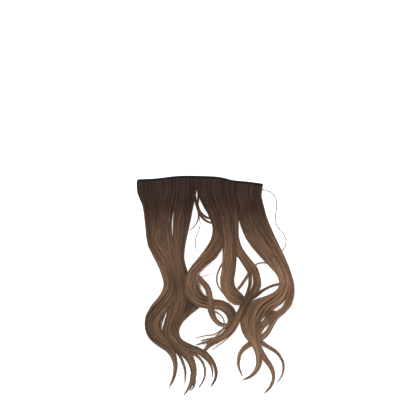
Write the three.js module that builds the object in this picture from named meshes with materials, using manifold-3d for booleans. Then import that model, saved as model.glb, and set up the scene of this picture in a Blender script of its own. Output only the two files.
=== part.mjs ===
// A clip-in hair weft lying face up: three sewn tracks on four snap clips, and the wavy locks that
// fall from the tracks. Millimetres. +X runs along the sewn edge, +Y points from the hair's tips to
// the sewn edge, and +Z is up from the table. The origin is the middle of the part's box, on the table.

import * as THREE from "three";
import { mergeVertices } from "three/addons/utils/BufferGeometryUtils.js";
import Module from "manifold-3d";

const wasm = await Module();
wasm.setup();

// Sewn tracks
const GAP = 0.3; // between pieces that are sewn or laid together
const TRACK_WIDTH = 3; // of one track, measured down from its upper edge
const TRACK_PITCH = 6; // from one track down to the next
const TRACK_THICKNESS = 2;
const TRACK_CHAMFER = 0.6;
const TRACK_STATIONS = 20; // sections along the whole sewn edge

// Clips: a comb plate on the table, with an open frame on it that is sewn to the tracks
const CLIP_LENGTH = 32;
const CLIP_WIDTH = 12;
const CLIP_HEIGHT = 3;
const CLIP_CORNER = 4;
const CORNER_STEPS = 3; // straight pieces in each rounded corner
const CLIP_RIM = 2.5; // solid border round the frame's window and the comb's slots
const CLIP_COMB_THICKNESS = 1.2;
const CLIP_FRAME_SUNK = 0.3; // how far the frame is sunk into the comb plate
const CLIP_SLOTS = 6;
const CLIP_SLOT_SHARE = 0.45; // slot width over slot pitch
const CLIP_DROP = 9; // from the sewn edge down to the clip's middle
const CLIP_PLACES = [23, 75, 127, 179]; // along the sewn edge, from its left end

// Heights above the table
const TRACK_LOW = CLIP_HEIGHT + GAP;
const HEAD_LOW = TRACK_LOW + TRACK_THICKNESS + GAP;
const HEAD_THICKNESS = 3;
const BAND_PROUD = 0.4; // how far the top track stands above the roots
const BAND_HIGH = HEAD_LOW + HEAD_THICKNESS + BAND_PROUD;

// Hair head: the flat sheet of roots just below the top track
const HEAD_TOP = TRACK_WIDTH + GAP;
const HEAD_DEPTH = 12;
const ROOT_START = 3; // from the head's top down to where each lock begins inside it
const ROOT_CLEAR = 2; // how far below the head a lock keeps its root's flat section
const ROOT_DROPS = [HEAD_TOP + ROOT_START, HEAD_TOP + HEAD_DEPTH + ROOT_CLEAR];

// Locks
const LOCK_SIDES = 10;
const WISP_SIDES = 8;
const WISP_WIDTH = 9; // a lock that starts narrower than this has fewer sides
const LOCK_STEP = 12; // between sections along a lock
const LOCK_ROUNDNESS = 2.5; // superellipse exponent of a lock's section
const TIP_THICKNESS = 1;
const THICKNESS_PER_WIDTH = 0.3;
const LOCK_THICKNESS_LIMIT = 9;

// The sewn edge lies in a slack arch. Columns: x, y.
const SEWN_EDGE = [
  [-125.5, 169.5],
  [-95, 171],
  [-62, 174.8],
  [-25, 175],
  [10, 172.5],
  [26, 168.5],
  [50, 166],
  [75.5, 162.5],
];

// Each lock is sewn in between two places along the edge, counted from its left end, or it leaves
// another lock of its fall. Columns of its sections, from the edge to the tip: x, y, width, base.
// Width is seen from above, and base is the height of the lock's underside.
const LEFT_OUTER_LOCK = {
  sewn: [0, 36],
  sections: [
    [-102, 135, 32, 2.5],
    [-100, 98, 25.5, 0],
    [-96.5, 68, 24, 0],
    [-85.5, 42, 20.5, 0],
    [-77, 17, 18, 0],
    [-74, -1, 19, 0],
    [-80, -21, 23, 0],
    [-93, -40, 26, 0],
    [-100.5, -58, 26, 0],
    [-97.5, -75, 24.5, 0],
    [-86.5, -87.5, 20.5, 0],
    [-72.5, -102.5, 13, 0],
    [-65.5, -120, 7.5, 0],
    [-65, -136, 5.5, 0],
    [-68.5, -150, 4, 0],
    [-76, -166, 1.5, 0],
  ],
};

const LEFT_INNER_LOCK = {
  sewn: [34, 64],
  sections: [
    [-78, 135, 27, 2.5],
    [-81, 98, 21, 0],
    [-78, 68, 21, 0],
    [-70, 42, 19, 0],
    [-63, 17, 17, 0],
    [-59, -1, 19, 0],
    [-59, -21, 25, 0],
    [-66, -40, 29, 0],
    [-73.5, -58, 24, 0],
    [-76, -74, 24, 0],
    [-66, -90, 22, 0],
    [-50, -104, 17, 0],
    [-40, -119, 12, 0],
    [-35.5, -135, 9.5, 0],
    [-36.5, -151, 7, 0],
    [-43, -165, 4, 0],
    [-49, -174, 1.5, 0],
  ],
};

const LEFT_SWEEP_LOCK = {
  sewn: [62, 95],
  sections: [
    [-50, 135, 31, 2.5],
    [-55.5, 98, 27, 0],
    [-58.5, 68, 20, 0],
    [-58, 42, 15, 0],
    [-51.5, 17, 16.5, 0],
    [-45, -2, 16, 0],
    [-39.5, -21, 15, 0],
    [-44, -38, 14, 0],
    [-57.5, -54, 12.5, 0],
    [-64.5, -70, 12, 0],
    [-60.5, -87, 11.5, 0],
    [-46.5, -97.5, 12, 0],
    [-30, -103, 11, 0],
    [-14, -111, 8, 0],
    [-2.5, -126, 5, 0],
    [1, -141, 4, 0],
    [-3, -154, 3, 0],
    [-12, -166, 1.5, 0],
  ],
};

const LEFT_OUTER_WISP = {
  sections: [
    [-71, -91, 7, 0],
    [-62, -105, 5, 0],
    [-54, -119, 4, 0],
    [-49, -137, 3, 0],
    [-50, -161, 1.5, 0],
  ],
};

const LEFT_INNER_WISP = {
  sections: [
    [-50, -101, 7, 0],
    [-38.5, -107, 4.5, 0],
    [-26.5, -115, 3.5, 0],
    [-18, -130, 3, 0],
    [-18, -146, 2.5, 0],
    [-29, -166, 1.5, 0],
  ],
};

const CURL_LOCK = {
  sewn: [95.8, 125],
  sections: [
    [-11, 135, 23, 2.5],
    [-3, 118, 20, 0.5],
    [4, 92, 18, 0],
    [2, 70, 22, 0],
    [-9, 51.5, 22, 0.5],
    [-23.5, 36.5, 17.5, 4],
    [-36, 20, 17.5, 6.5],
    [-38, 4, 22.5, 7],
    [-34.5, -12.5, 23.5, 7],
    [-25, -22, 21.5, 7],
    [-8, -28.5, 16.5, 2.5],
    [8, -31, 15, 0],
    [22, -40.5, 16, 0],
    [26.5, -53, 15, 0],
    [20.5, -69.5, 13, 0],
    [5.5, -83, 11, 1],
    [-9, -92.5, 8.5, 3.5],
    [-18, -103, 3.5, 5],
  ],
};

const CURL_LOOP = {
  sections: [
    [-35, 27, 8, 5],
    [-28, 13.5, 8, 6.5],
    [-20.5, 6, 9, 3.5],
    [-13.5, -3, 9.5, 2.5],
    [-10.5, -12, 9.5, 4.5],
    [-9.5, -24, 10, 6.5],
    [-8.5, -35, 10, 5],
    [-5.5, -46, 9.5, 1.5],
    [-1.5, -53.5, 8, 0.5],
    [5, -60, 7, 0],
    [14, -63, 5.5, 0],
    [22, -61, 5.5, 1],
    [29, -54, 5, 3.5],
    [36, -42, 5, 4],
  ],
};

const STRAIGHT_LOCK = {
  sewn: [123, 149],
  sections: [
    [12, 135, 23, 2.5],
    [18, 108, 20, 0],
    [21, 76, 21, 0],
    [22, 51, 22.5, 0],
    [20.5, 25, 22, 0],
    [18, 9, 22, 0],
    [20.5, -4, 22, 0],
    [27.5, -15, 22.5, 0],
    [36.5, -21.5, 21, 0],
    [47, -27, 10, 0],
  ],
};

const CROSSING_LOCK = {
  sewn: [146, 160.3],
  sections: [
    [28, 135, 15, 2.5],
    [30, 108, 13, 0],
    [30.5, 76, 13.5, 0],
    [36, 58, 13.5, 0],
    [43.5, 46.5, 14, 0],
    [51.5, 35.5, 15.5, 0],
    [58.5, 25, 17.5, 0],
    [62, 12, 18.5, 0],
    [61.5, -1, 19.5, 1],
    [57, -10, 16.5, 2.5],
    [50.5, -19, 11.5, 4],
    [43, -33.5, 9.5, 4.5],
    [33, -54.5, 11.5, 4],
    [23.5, -71, 12.5, 3.5],
    [5.5, -84.5, 11.5, 4],
    [-13, -92, 6, 5],
    [-30, -92.5, 1.5, 5.5],
  ],
};

const RIGHT_MAIN_LOCK = {
  sewn: [161, 188],
  sections: [
    [50.5, 129, 26.5, 2.5],
    [53, 105, 30.5, 0],
    [63, 81, 30.5, 0],
    [77.5, 59, 26.5, 0],
    [94, 37, 20, 0],
    [106, 17, 14.5, 0],
    [109.5, -1, 16.5, 0],
    [101.5, -17.5, 23, 0],
    [81, -29.5, 26.5, 0],
    [71, -35.5, 32.5, 0],
    [63, -44, 33.5, 0],
    [55.5, -60, 33, 0],
    [56, -75, 24.5, 1],
    [61, -89, 13, 3.5],
    [67, -103, 10.5, 3],
    [69.5, -116, 9.5, 0.5],
    [66.5, -132, 7, 0],
    [55, -145.5, 4, 0],
    [36, -152.5, 1.5, 0],
  ],
};

const RIGHT_OUTER_LOCK = {
  sewn: [186, 201.5],
  sections: [
    [69, 129, 14, 2.5],
    [76, 105, 14, 0],
    [86, 81, 14, 0],
    [97, 59, 13, 0],
    [108, 37, 12, 0],
    [115.5, 17, 12, 0],
    [119.5, -2, 12, 0],
    [117.5, -21, 12.5, 0],
    [108.5, -38, 10.5, 0],
    [96.5, -49, 9.5, 0],
    [90, -61.5, 7.5, 0],
    [82, -75, 7.5, 0],
    [66, -88, 8, 0],
    [51, -95, 8.5, 0],
    [39.5, -107, 6, 0],
    [36, -125, 3.5, 0],
    [44, -148, 1.5, 0],
  ],
};

const RIGHT_BRANCH_LOCK = {
  sections: [
    [100, -43.5, 6, 0.5],
    [85, -52.5, 12.5, 0.5],
    [72, -68.5, 8, 0.5],
    [66, -86, 8, 2.5],
    [71.5, -103, 8, 3],
    [80.5, -118.5, 8.5, 0.5],
    [88.5, -130, 7, 0],
    [92.5, -146, 5, 0],
    [87, -162, 4, 0],
    [74, -175, 1.5, 0],
  ],
};

const RIGHT_WISP = {
  sections: [
    [59, -70, 8, 1],
    [68, -86, 7, 0.5],
    [84, -97.5, 5.5, 0],
    [98.5, -107.5, 4.5, 0],
    [107, -122.5, 3, 0],
    [107, -140.5, 2.5, 0],
    [94, -160, 1.5, 0],
  ],
};

// Falls: the stretch of the edge that each head covers, and the locks fused to it
const FALLS = {
  hair_left_fall: {
    head: [0, 95],
    locks: [LEFT_OUTER_LOCK, LEFT_INNER_LOCK, LEFT_SWEEP_LOCK, LEFT_OUTER_WISP, LEFT_INNER_WISP],
  },
  hair_middle_fall: {
    head: [95.8, 160.3],
    locks: [CURL_LOCK, CURL_LOOP, STRAIGHT_LOCK, CROSSING_LOCK],
  },
  hair_right_fall: {
    head: [161, 201.5],
    locks: [RIGHT_MAIN_LOCK, RIGHT_OUTER_LOCK, RIGHT_BRANCH_LOCK, RIGHT_WISP],
  },
};

// Finishes, for a material of each piece's own
const HAIR_FINISH = { color: 0x6a5140, roughness: 0.55, metalness: 0 };
const TRACK_FINISH = { color: 0x17110f, roughness: 0.85, metalness: 0 };
const CLIP_FINISH = { color: 0x35353a, roughness: 0.4, metalness: 0.8 };

const sewnEdge = new THREE.CatmullRomCurve3(SEWN_EDGE.map(([x, y]) => new THREE.Vector3(x, y, 0)));
const sewnLength = sewnEdge.getLength();

// The point a given way along the sewn edge and down from it, with the direction of the edge there
function edgePlace(along, drop) {
  const share = THREE.MathUtils.clamp(along / sewnLength, 0, 1);
  const tangent = sewnEdge.getTangentAt(share);
  const down = new THREE.Vector3(tangent.y, -tangent.x, 0);
  const point = sewnEdge.getPointAt(share).addScaledVector(down, drop);
  return { point, tangent };
}

// A closed body through rings of points, each ring with the same number, with flat ends
function loft(rings) {
  const sides = rings[0].length;
  const positions = rings.flat().flatMap((point) => point.toArray());
  const triangles = [];
  for (let ring = 0; ring < rings.length - 1; ring += 1) {
    for (let side = 0; side < sides; side += 1) {
      const a = ring * sides + side;
      const b = ring * sides + ((side + 1) % sides);
      triangles.push(a, b, b + sides, a, b + sides, a + sides);
    }
  }
  const last = (rings.length - 1) * sides;
  for (let side = 1; side < sides - 1; side += 1) {
    triangles.push(0, side + 1, side);
    triangles.push(last, last + side, last + side + 1);
  }
  const geometry = new THREE.BufferGeometry();
  geometry.setAttribute("position", new THREE.Float32BufferAttribute(positions, 3));
  geometry.setIndex(triangles);
  return geometry;
}

// A strip that follows the sewn edge, with a chamfered rectangle as its section
function edgeStrip({ from, to, drop, width, low, high }) {
  const chamfer = TRACK_CHAMFER;
  const section = [
    [drop + chamfer, low],
    [drop, low + chamfer],
    [drop, high - chamfer],
    [drop + chamfer, high],
    [drop + width - chamfer, high],
    [drop + width, high - chamfer],
    [drop + width, low + chamfer],
    [drop + width - chamfer, low],
  ];
  const steps = Math.ceil((TRACK_STATIONS * (to - from)) / sewnLength);
  const rings = [];
  for (let step = 0; step <= steps; step += 1) {
    const along = from + ((to - from) * step) / steps;
    rings.push(section.map(([down, height]) => edgePlace(along, down).point.setZ(height)));
  }
  return loft(rings);
}

// A lock's sections, from its root in the head to its tip, with the thickness that its width gives it
function lockSections({ sewn, sections }) {
  const falling = sections.map(([x, y, width, base]) => ({
    place: new THREE.Vector3(x, y, 0),
    size: new THREE.Vector3(
      width,
      Math.min(LOCK_THICKNESS_LIMIT, TIP_THICKNESS + THICKNESS_PER_WIDTH * width),
      base,
    ),
  }));
  if (!sewn) {
    return falling;
  }
  const [from, to] = sewn;
  const rooted = ROOT_DROPS.map((drop) => ({
    place: edgePlace((from + to) / 2, drop).point,
    size: new THREE.Vector3(to - from, HEAD_THICKNESS, HEAD_LOW),
  }));
  return [...rooted, ...falling];
}

// A superellipse ring across a lock, standing on its base
function lockRing(place, heading, size, sides) {
  const [width, thickness, base] = size.toArray();
  const across = new THREE.Vector3(-heading.y, heading.x, 0).normalize();
  const middle = Math.max(base, 0) + thickness / 2;
  const power = 2 / LOCK_ROUNDNESS;
  const ring = [];
  for (let side = 0; side < sides; side += 1) {
    const turn = (2 * Math.PI * side) / sides;
    const out = Math.sign(Math.cos(turn)) * Math.abs(Math.cos(turn)) ** power;
    const up = Math.sign(Math.sin(turn)) * Math.abs(Math.sin(turn)) ** power;
    const point = place.clone().addScaledVector(across, (out * width) / 2);
    ring.push(point.setZ(middle + (up * thickness) / 2));
  }
  return ring;
}

function lockGeometry(lock) {
  const sections = lockSections(lock);
  const path = new THREE.CatmullRomCurve3(sections.map(({ place }) => place));
  const sizes = new THREE.CatmullRomCurve3(sections.map(({ size }) => size));
  const sides = sections[0].size.x < WISP_WIDTH ? WISP_SIDES : LOCK_SIDES;
  const steps = Math.round(path.getLength() / LOCK_STEP);
  const rings = [];
  for (let step = 0; step <= steps; step += 1) {
    const share = path.getUtoTmapping(step / steps);
    rings.push(lockRing(path.getPoint(share), path.getTangent(share), sizes.getPoint(share), sides));
  }
  return loft(rings);
}

// A flat plate with rounded corners, between two heights
function roundedPlate(length, width, corner, low, high) {
  const shape = new THREE.Shape();
  for (const [across, up, turn] of [[1, 1, 0], [-1, 1, 0.5], [-1, -1, 1], [1, -1, 1.5]]) {
    const x = across * (length / 2 - corner);
    const y = up * (width / 2 - corner);
    shape.absarc(x, y, corner, turn * Math.PI, (turn + 0.5) * Math.PI);
  }
  const options = { depth: high - low, bevelEnabled: false, curveSegments: CORNER_STEPS };
  return new THREE.ExtrudeGeometry(shape, options).translate(0, 0, low);
}

function clipGeometry() {
  const windowLength = CLIP_LENGTH - 2 * CLIP_RIM;
  const windowWidth = CLIP_WIDTH - 2 * CLIP_RIM;
  const frameLow = CLIP_COMB_THICKNESS - CLIP_FRAME_SUNK;
  const comb = roundedPlate(CLIP_LENGTH, CLIP_WIDTH, CLIP_CORNER, 0, CLIP_COMB_THICKNESS);
  const frame = roundedPlate(CLIP_LENGTH, CLIP_WIDTH, CLIP_CORNER, frameLow, CLIP_HEIGHT);
  const opening = roundedPlate(
    windowLength,
    windowWidth,
    CLIP_CORNER - CLIP_RIM,
    CLIP_COMB_THICKNESS,
    CLIP_HEIGHT + CLIP_COMB_THICKNESS,
  );
  const pitch = windowLength / CLIP_SLOTS;
  const slots = [];
  for (let slot = 0; slot < CLIP_SLOTS; slot += 1) {
    const cutter = new THREE.BoxGeometry(CLIP_SLOT_SHARE * pitch, windowWidth, 2 * CLIP_HEIGHT);
    slots.push(cutter.translate((slot + 0.5) * pitch - windowLength / 2, 0, 0));
  }
  return toGeometry(cut(join([comb, frame]), [opening, ...slots]));
}

// Boolean joins and cuts
function toSolid(geometry) {
  const bare = geometry.clone();
  bare.deleteAttribute("normal");
  bare.deleteAttribute("uv");
  const welded = mergeVertices(bare);
  const vertProperties = new Float32Array(welded.attributes.position.array);
  const triVerts = new Uint32Array(welded.index.array);
  return new wasm.Manifold(new wasm.Mesh({ numProp: 3, vertProperties, triVerts }));
}

function toGeometry(solid) {
  const { vertProperties, triVerts } = solid.getMesh();
  const geometry = new THREE.BufferGeometry();
  geometry.setAttribute("position", new THREE.Float32BufferAttribute(vertProperties, 3));
  geometry.setIndex(Array.from(triVerts));
  return geometry;
}

function join(geometries) {
  return geometries.map(toSolid).reduce((whole, solid) => whole.add(solid));
}

function cut(solid, cutters) {
  return cutters.map(toSolid).reduce((rest, cutter) => rest.subtract(cutter), solid);
}

function namedMesh(name, geometry, finish) {
  const mesh = new THREE.Mesh(geometry, new THREE.MeshStandardMaterial(finish));
  mesh.name = name;
  return mesh;
}

const hairpiece = new THREE.Group();

// The top track stands just above the roots that come out of it. The other two lie under the roots.
const TRACK_HIGHS = {
  weft_band: BAND_HIGH,
  weft_row_2: TRACK_LOW + TRACK_THICKNESS,
  weft_row_3: TRACK_LOW + TRACK_THICKNESS,
};

Object.entries(TRACK_HIGHS).forEach(([name, high], track) => {
  const drop = track * TRACK_PITCH;
  const strip = edgeStrip({ from: 0, to: sewnLength, drop, width: TRACK_WIDTH, low: TRACK_LOW, high });
  hairpiece.add(namedMesh(name, strip, TRACK_FINISH));
});

for (const [name, { head, locks }] of Object.entries(FALLS)) {
  const [from, to] = head;
  const headStrip = edgeStrip({
    from,
    to,
    drop: HEAD_TOP,
    width: HEAD_DEPTH,
    low: HEAD_LOW,
    high: HEAD_LOW + HEAD_THICKNESS,
  });
  const fall = toGeometry(join([headStrip, ...locks.map(lockGeometry)]));
  hairpiece.add(namedMesh(name, fall, HAIR_FINISH));
}

CLIP_PLACES.forEach((along, index) => {
  const { point, tangent } = edgePlace(along, CLIP_DROP);
  const clip = namedMesh(`clip_${index + 1}`, clipGeometry(), CLIP_FINISH);
  clip.position.copy(point);
  clip.rotation.z = Math.atan2(tangent.y, tangent.x);
  hairpiece.add(clip);
});

// Stand the part on the table, centred on its box
const box = new THREE.Box3().setFromObject(hairpiece);
const middle = box.getCenter(new THREE.Vector3());
hairpiece.position.set(-middle.x, -middle.y, -box.min.z);

export default hairpiece;
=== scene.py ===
# %% [markdown]
# # A clip-in hair weft on a white table
# A weft is a strip of false hair. Bundles of hair are sewn into narrow tracks, the tracks are sewn to
# snap clips, and the hair falls from the tracks in loose waves. The tracks, the clips and the outer form
# of every lock come packed at their real size. This lesson loads them as a fixed frame and dresses them:
# first the view, then the finishes, then thousands of strands, and last the stitches and the clips.

import bpy
import numpy as np
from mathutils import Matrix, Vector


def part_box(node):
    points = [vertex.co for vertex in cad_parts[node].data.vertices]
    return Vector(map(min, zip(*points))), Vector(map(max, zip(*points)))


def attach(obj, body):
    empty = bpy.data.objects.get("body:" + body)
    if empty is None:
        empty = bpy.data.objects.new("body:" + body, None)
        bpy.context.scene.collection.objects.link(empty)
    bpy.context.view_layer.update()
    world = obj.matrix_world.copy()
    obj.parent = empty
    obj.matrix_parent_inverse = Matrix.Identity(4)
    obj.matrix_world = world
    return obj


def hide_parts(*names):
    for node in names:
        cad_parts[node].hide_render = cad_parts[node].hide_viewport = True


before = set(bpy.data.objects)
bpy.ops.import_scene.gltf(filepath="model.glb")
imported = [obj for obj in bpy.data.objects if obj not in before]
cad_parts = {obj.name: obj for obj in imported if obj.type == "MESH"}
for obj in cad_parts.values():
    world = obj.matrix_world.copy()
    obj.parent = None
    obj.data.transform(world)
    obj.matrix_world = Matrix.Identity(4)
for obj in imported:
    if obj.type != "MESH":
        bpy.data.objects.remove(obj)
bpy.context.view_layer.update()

MM = 0.001
print("nodes:", ", ".join(sorted(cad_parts)))

# %% [markdown]
# ## The view
# The weft lies flat and is seen from straight above. A camera can be aimed with a constraint, but one
# that looks down its own -Z axis needs no turning at all. It stands far off with a long lens, so the
# high and low parts of the hair keep the same scale, as they do when a catalogue picture is taken.

# %% Camera
VIEW_WIDTH = 640 * MM  # of the table, across the picture
VIEW_MIDDLE = (-25.2 * MM, 137.4 * MM)
CAMERA_HEIGHT = 2500 * MM
SENSOR_WIDTH = 36


def add_object(name, data):
    """A new object in the scene, at the origin."""
    item = bpy.data.objects.new(name, data)
    bpy.context.scene.collection.objects.link(item)
    return item


camera = add_object("camera", bpy.data.cameras.new("camera"))
camera.data.sensor_width = SENSOR_WIDTH
camera.data.lens = SENSOR_WIDTH * CAMERA_HEIGHT / VIEW_WIDTH
camera.location = (*VIEW_MIDDLE, CAMERA_HEIGHT)
bpy.context.scene.camera = camera
print("camera lens:", round(camera.data.lens, 1))

# %% [markdown]
# ## Shader sums in plain Python
# A material is a net of nodes. Wiring each node by hand hides the idea behind it, so a small class wraps
# one output and lets it stand in a sum: `1 - mask` adds the Math node and its links. Every other node
# comes from one method, which takes the node's type, its settings, and what goes into its sockets.


# %% A socket that can be added and multiplied
class Shade:
    """One output of a material's nodes."""

    def __init__(self, tree, socket=None):
        self.tree = tree
        self.socket = socket

    def add(self, kind, settings=None, sockets=None, out=0):
        """Adds a node: its settings are set first, then the values or links of its sockets."""
        node = self.tree.nodes.new(kind)
        for name, value in (settings or {}).items():
            if name == "stops":
                set_stops(node.color_ramp, value)
            else:
                setattr(node, name, value)
        for key, value in (sockets or {}).items():
            if isinstance(value, Shade):
                self.tree.links.new(value.socket, node.inputs[key])
            else:
                node.inputs[key].default_value = value
        return Shade(self.tree, node.outputs[out] if node.outputs else None)

    def math(self, operation, first, second):
        return self.add("ShaderNodeMath", {"operation": operation}, {0: first, 1: second})

    def __add__(self, other):
        return self.math("ADD", self, other)

    def __radd__(self, other):
        return self.math("ADD", other, self)

    def __sub__(self, other):
        return self.math("SUBTRACT", self, other)

    def __rsub__(self, other):
        return self.math("SUBTRACT", other, self)

    def __mul__(self, other):
        return self.math("MULTIPLY", self, other)

    def __rmul__(self, other):
        return self.math("MULTIPLY", other, self)

    def __truediv__(self, other):
        return self.math("DIVIDE", self, other)

    def __rtruediv__(self, other):
        return self.math("DIVIDE", other, self)


def set_stops(ramp, stops):
    """Gives a colour ramp its stops, each a position and a colour."""
    while len(ramp.elements) < len(stops):
        ramp.elements.new(1.0)
    for element, (position, colour) in zip(ramp.elements, stops):
        element.position = position
        element.color = colour


# %% Colours and a material's first and last step
def srgb(red, green, blue):
    """A screen colour, 0 to 255 each, as the linear colour that a shader needs."""
    share = np.array([red, green, blue]) / 255
    linear = np.where(share <= 0.04045, share / 12.92, ((share + 0.055) / 1.055) ** 2.4)
    return (*linear.tolist(), 1.0)


def new_finish(name):
    """An empty material, and the start of its nodes."""
    material = bpy.data.materials.new(name)
    material.use_nodes = True
    material.node_tree.nodes.clear()
    return material, Shade(material.node_tree)


def close_finish(start, sockets):
    """Ends a material in one Principled shader."""
    shader = start.add("ShaderNodeBsdfPrincipled", {}, sockets)
    start.add("ShaderNodeOutputMaterial", {}, {"Surface": shader})


def mixed(start, share, first, second):
    """Two colours mixed: the first at share 0, the second at share 1."""
    return start.add("ShaderNodeMix", {"data_type": "RGBA"}, {0: share, 6: first, 7: second}, out=2)


print("shader helpers ready")

# %% [markdown]
# ## Table and light
# The table is plain and almost white, and it glows a little, as a photographer's light table does, so
# that thin strands keep their own colour and cast only a faint shadow. A white sky gives the even light,
# and one wide lamp beyond the sewn edge puts a gentle shine on the strands that run across the picture.

# %% Table
TABLE_SIZE = 12.0
TABLE_GLOW = 0.55

table_finish, start = new_finish("white_table")
close_finish(start, {
    "Base Color": srgb(244, 244, 244),
    "Roughness": 0.9,
    "Specular IOR Level": 0.1,
    "Emission Color": (1.0, 1.0, 1.0, 1.0),
    "Emission Strength": TABLE_GLOW,
})
half = TABLE_SIZE / 2
table_mesh = bpy.data.meshes.new("table")
corners = [(-half, -half, 0), (half, -half, 0), (half, half, 0), (-half, half, 0)]
table_mesh.from_pydata(corners, [], [(0, 1, 2, 3)])
table_mesh.materials.append(table_finish)
table = add_object("table", table_mesh)
print("table:", TABLE_SIZE, "m across")

# %% Light
SKY_STRENGTH = 0.75
LAMP_PLACE = (-0.35, 1.15, 1.25)
LAMP_SIZE = 0.9
LAMP_POWER = 22

sky = bpy.data.worlds.new("white_sky")
sky.use_nodes = True
sky.node_tree.nodes["Background"].inputs["Color"].default_value = (1.0, 1.0, 1.0, 1.0)
sky.node_tree.nodes["Background"].inputs["Strength"].default_value = SKY_STRENGTH
bpy.context.scene.world = sky
bpy.context.scene.view_settings.view_transform = "Standard"

lamp = add_object("lamp", bpy.data.lights.new("lamp", "AREA"))
lamp.data.size = LAMP_SIZE
lamp.data.energy = LAMP_POWER
lamp.location = LAMP_PLACE
lamp.rotation_mode = "QUATERNION"
lamp.rotation_quaternion = lamp.location.to_track_quat("Z", "Y")
print("lamp:", LAMP_POWER, "W")

# %% [markdown]
# ## The hair's finish
# This hair is dyed in a fade: nearly black brown at the roots, warm light brown from a hand's breadth
# down. The fade could be a gradient in space, but then it would cut straight across every lock. Each
# point instead carries its own number, how far down the fade it is, and each strand a tone of its own,
# so neighbours change colour a little sooner or later, as dyed hair does.

# %% Hair
FADE_LENGTH = 0.36  # from the sewn edge to the lowest tips
FADE_STOPS = [
    (0.000, srgb(38, 23, 20)),
    (0.040, srgb(61, 39, 31)),
    (0.110, srgb(70, 48, 38)),
    (0.190, srgb(101, 76, 60)),
    (0.300, srgb(120, 92, 71)),
    (0.600, srgb(117, 90, 70)),
    (1.000, srgb(112, 91, 75)),
]
GOLDEN_HAIR = srgb(168, 132, 102)
DARK_STRAND = 0.40  # brightness of the darkest strand
TONE_REACH = 1.25  # from the darkest strand to the lightest

hair_finish, start = new_finish("faded_brown_hair")
fade = start.add("ShaderNodeAttribute", {"attribute_name": "fade"}, out=2)
tone = start.add("ShaderNodeAttribute", {"attribute_name": "tone"}, out=2)
flow = start.add("ShaderNodeTexNoise", {}, {"Scale": 90.0, "Detail": 2.0})
# The strands' tone attribute holds their own tone and also painted shade and painted light: darker lock
# sides, darker strands below the clumps, and the patches in SHADES.
brightness = DARK_STRAND + TONE_REACH * tone + 0.3 * (flow - 0.5)
dyed = start.add("ShaderNodeValToRGB", {"stops": FADE_STOPS}, {0: fade / FADE_LENGTH})
sunlit = mixed(start, tone * tone * 0.25 * fade / FADE_LENGTH, dyed, GOLDEN_HAIR)
hair_colour = start.add("ShaderNodeVectorMath", {"operation": "SCALE"}, {0: sunlit, "Scale": brightness})
scales = start.add("ShaderNodeTexNoise", {}, {"Scale": 1500.0, "Detail": 1.0})
close_finish(start, {
    "Base Color": hair_colour,
    "Roughness": 0.42 + 0.2 * flow,
    "Specular IOR Level": 0.25,
    "Normal": start.add("ShaderNodeBump", {}, {"Strength": 0.15, "Distance": 0.05 * MM, "Height": scales}),
})
print("hair finish:", len(FADE_STOPS), "stops in the fade")

# %% [markdown]
# ## The tracks' and clips' finishes
# The tracks are hair turned over a cord and sewn down with dark thread, so they read as a dull, ridged
# cloth. The clips are stamped steel under dark enamel that has worn a little at the edges. Both could be
# flat colours at this distance, but the part is also looked at from close by.


# %% Tracks, thread and clips
def dark_cloth(name, colour, light, scale):
    """A dull dark cloth with a fine uneven weave."""
    material, start = new_finish(name)
    weave = start.add("ShaderNodeTexNoise", {}, {"Scale": scale, "Detail": 4.0})
    close_finish(start, {
        "Base Color": mixed(start, weave, colour, light),
        "Roughness": 0.65 + 0.25 * weave,
        "Specular IOR Level": 0.12,
        "Normal": start.add("ShaderNodeBump", {}, {"Strength": 0.5, "Distance": 0.1 * MM, "Height": weave}),
    })
    return material


track_finish = dark_cloth("sewn_hair_track", srgb(20, 14, 13), srgb(42, 31, 28), 2200.0)
thread_finish = dark_cloth("dark_thread", srgb(16, 12, 12), srgb(38, 30, 28), 4200.0)

clip_finish, start = new_finish("dark_enamelled_clip")
speckle = start.add("ShaderNodeTexNoise", {}, {"Scale": 900.0, "Detail": 5.0})
ridge = start.add("ShaderNodeNewGeometry", {}, out=7)
worn = start.add("ShaderNodeMapRange", {}, {0: ridge + 0.05 * speckle, 1: 0.56, 2: 0.66})
close_finish(start, {
    "Base Color": mixed(start, worn, srgb(44, 43, 46), srgb(120, 118, 116)),
    "Metallic": 0.35 + 0.5 * worn,
    "Roughness": 0.3 + 0.25 * speckle,
    "Normal": start.add("ShaderNodeBump", {}, {"Strength": 0.2, "Distance": 0.05 * MM, "Height": speckle}),
})
print("dark finishes:", track_finish.name, thread_finish.name, clip_finish.name)

# %% [markdown]
# ## The sewn edge
# Everything hangs from one line: the upper edge of the top track, which lies in a slack arch. A Bezier
# curve object could hold it, but thousands of strands need its points and headings as numbers, so a
# smooth curve through eight points is worked out here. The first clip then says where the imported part
# lies, and the line is moved there.

# %% Smooth curves through a few points
FORM_SAMPLES = 500


def through(knots, values, at):
    """Reads off, at other places, the smooth curve that passes through values at knots."""
    slopes = np.gradient(values, knots, axis=0)
    left = np.clip(np.searchsorted(knots, at, side="right") - 1, 0, len(knots) - 2)
    span = (knots[left + 1] - knots[left])[:, None]
    share = (at - knots[left])[:, None] / span
    rest = 1 - share
    from_left = values[left] * (1 + 2 * share) + slopes[left] * span * share
    from_right = values[left + 1] * (1 + 2 * rest) - slopes[left + 1] * span * rest
    return from_left * rest**2 + from_right * share**2


def walked(points):
    """How far along a line of points each one is."""
    steps = np.linalg.norm(np.diff(points, axis=0), axis=1)
    return np.concatenate([[0.0], np.cumsum(steps)])


def unit(vectors):
    return vectors / np.linalg.norm(vectors, axis=-1, keepdims=True)


def read_off(knots, columns, at):
    """Each column of a fine table, read off at any places."""
    return np.stack([np.interp(at, knots, column) for column in columns.T], axis=-1)


print("curve helpers ready")

# %% The edge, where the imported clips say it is
SEWN_EDGE = MM * np.array([
    (-125.5, 169.5), (-95, 171), (-62, 174.8), (-25, 175), (10, 172.5), (26, 168.5), (50, 166), (75.5, 162.5),
])
FIRST_CLIP = (23 * MM, 9 * MM)  # along the edge, and down from it

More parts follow.
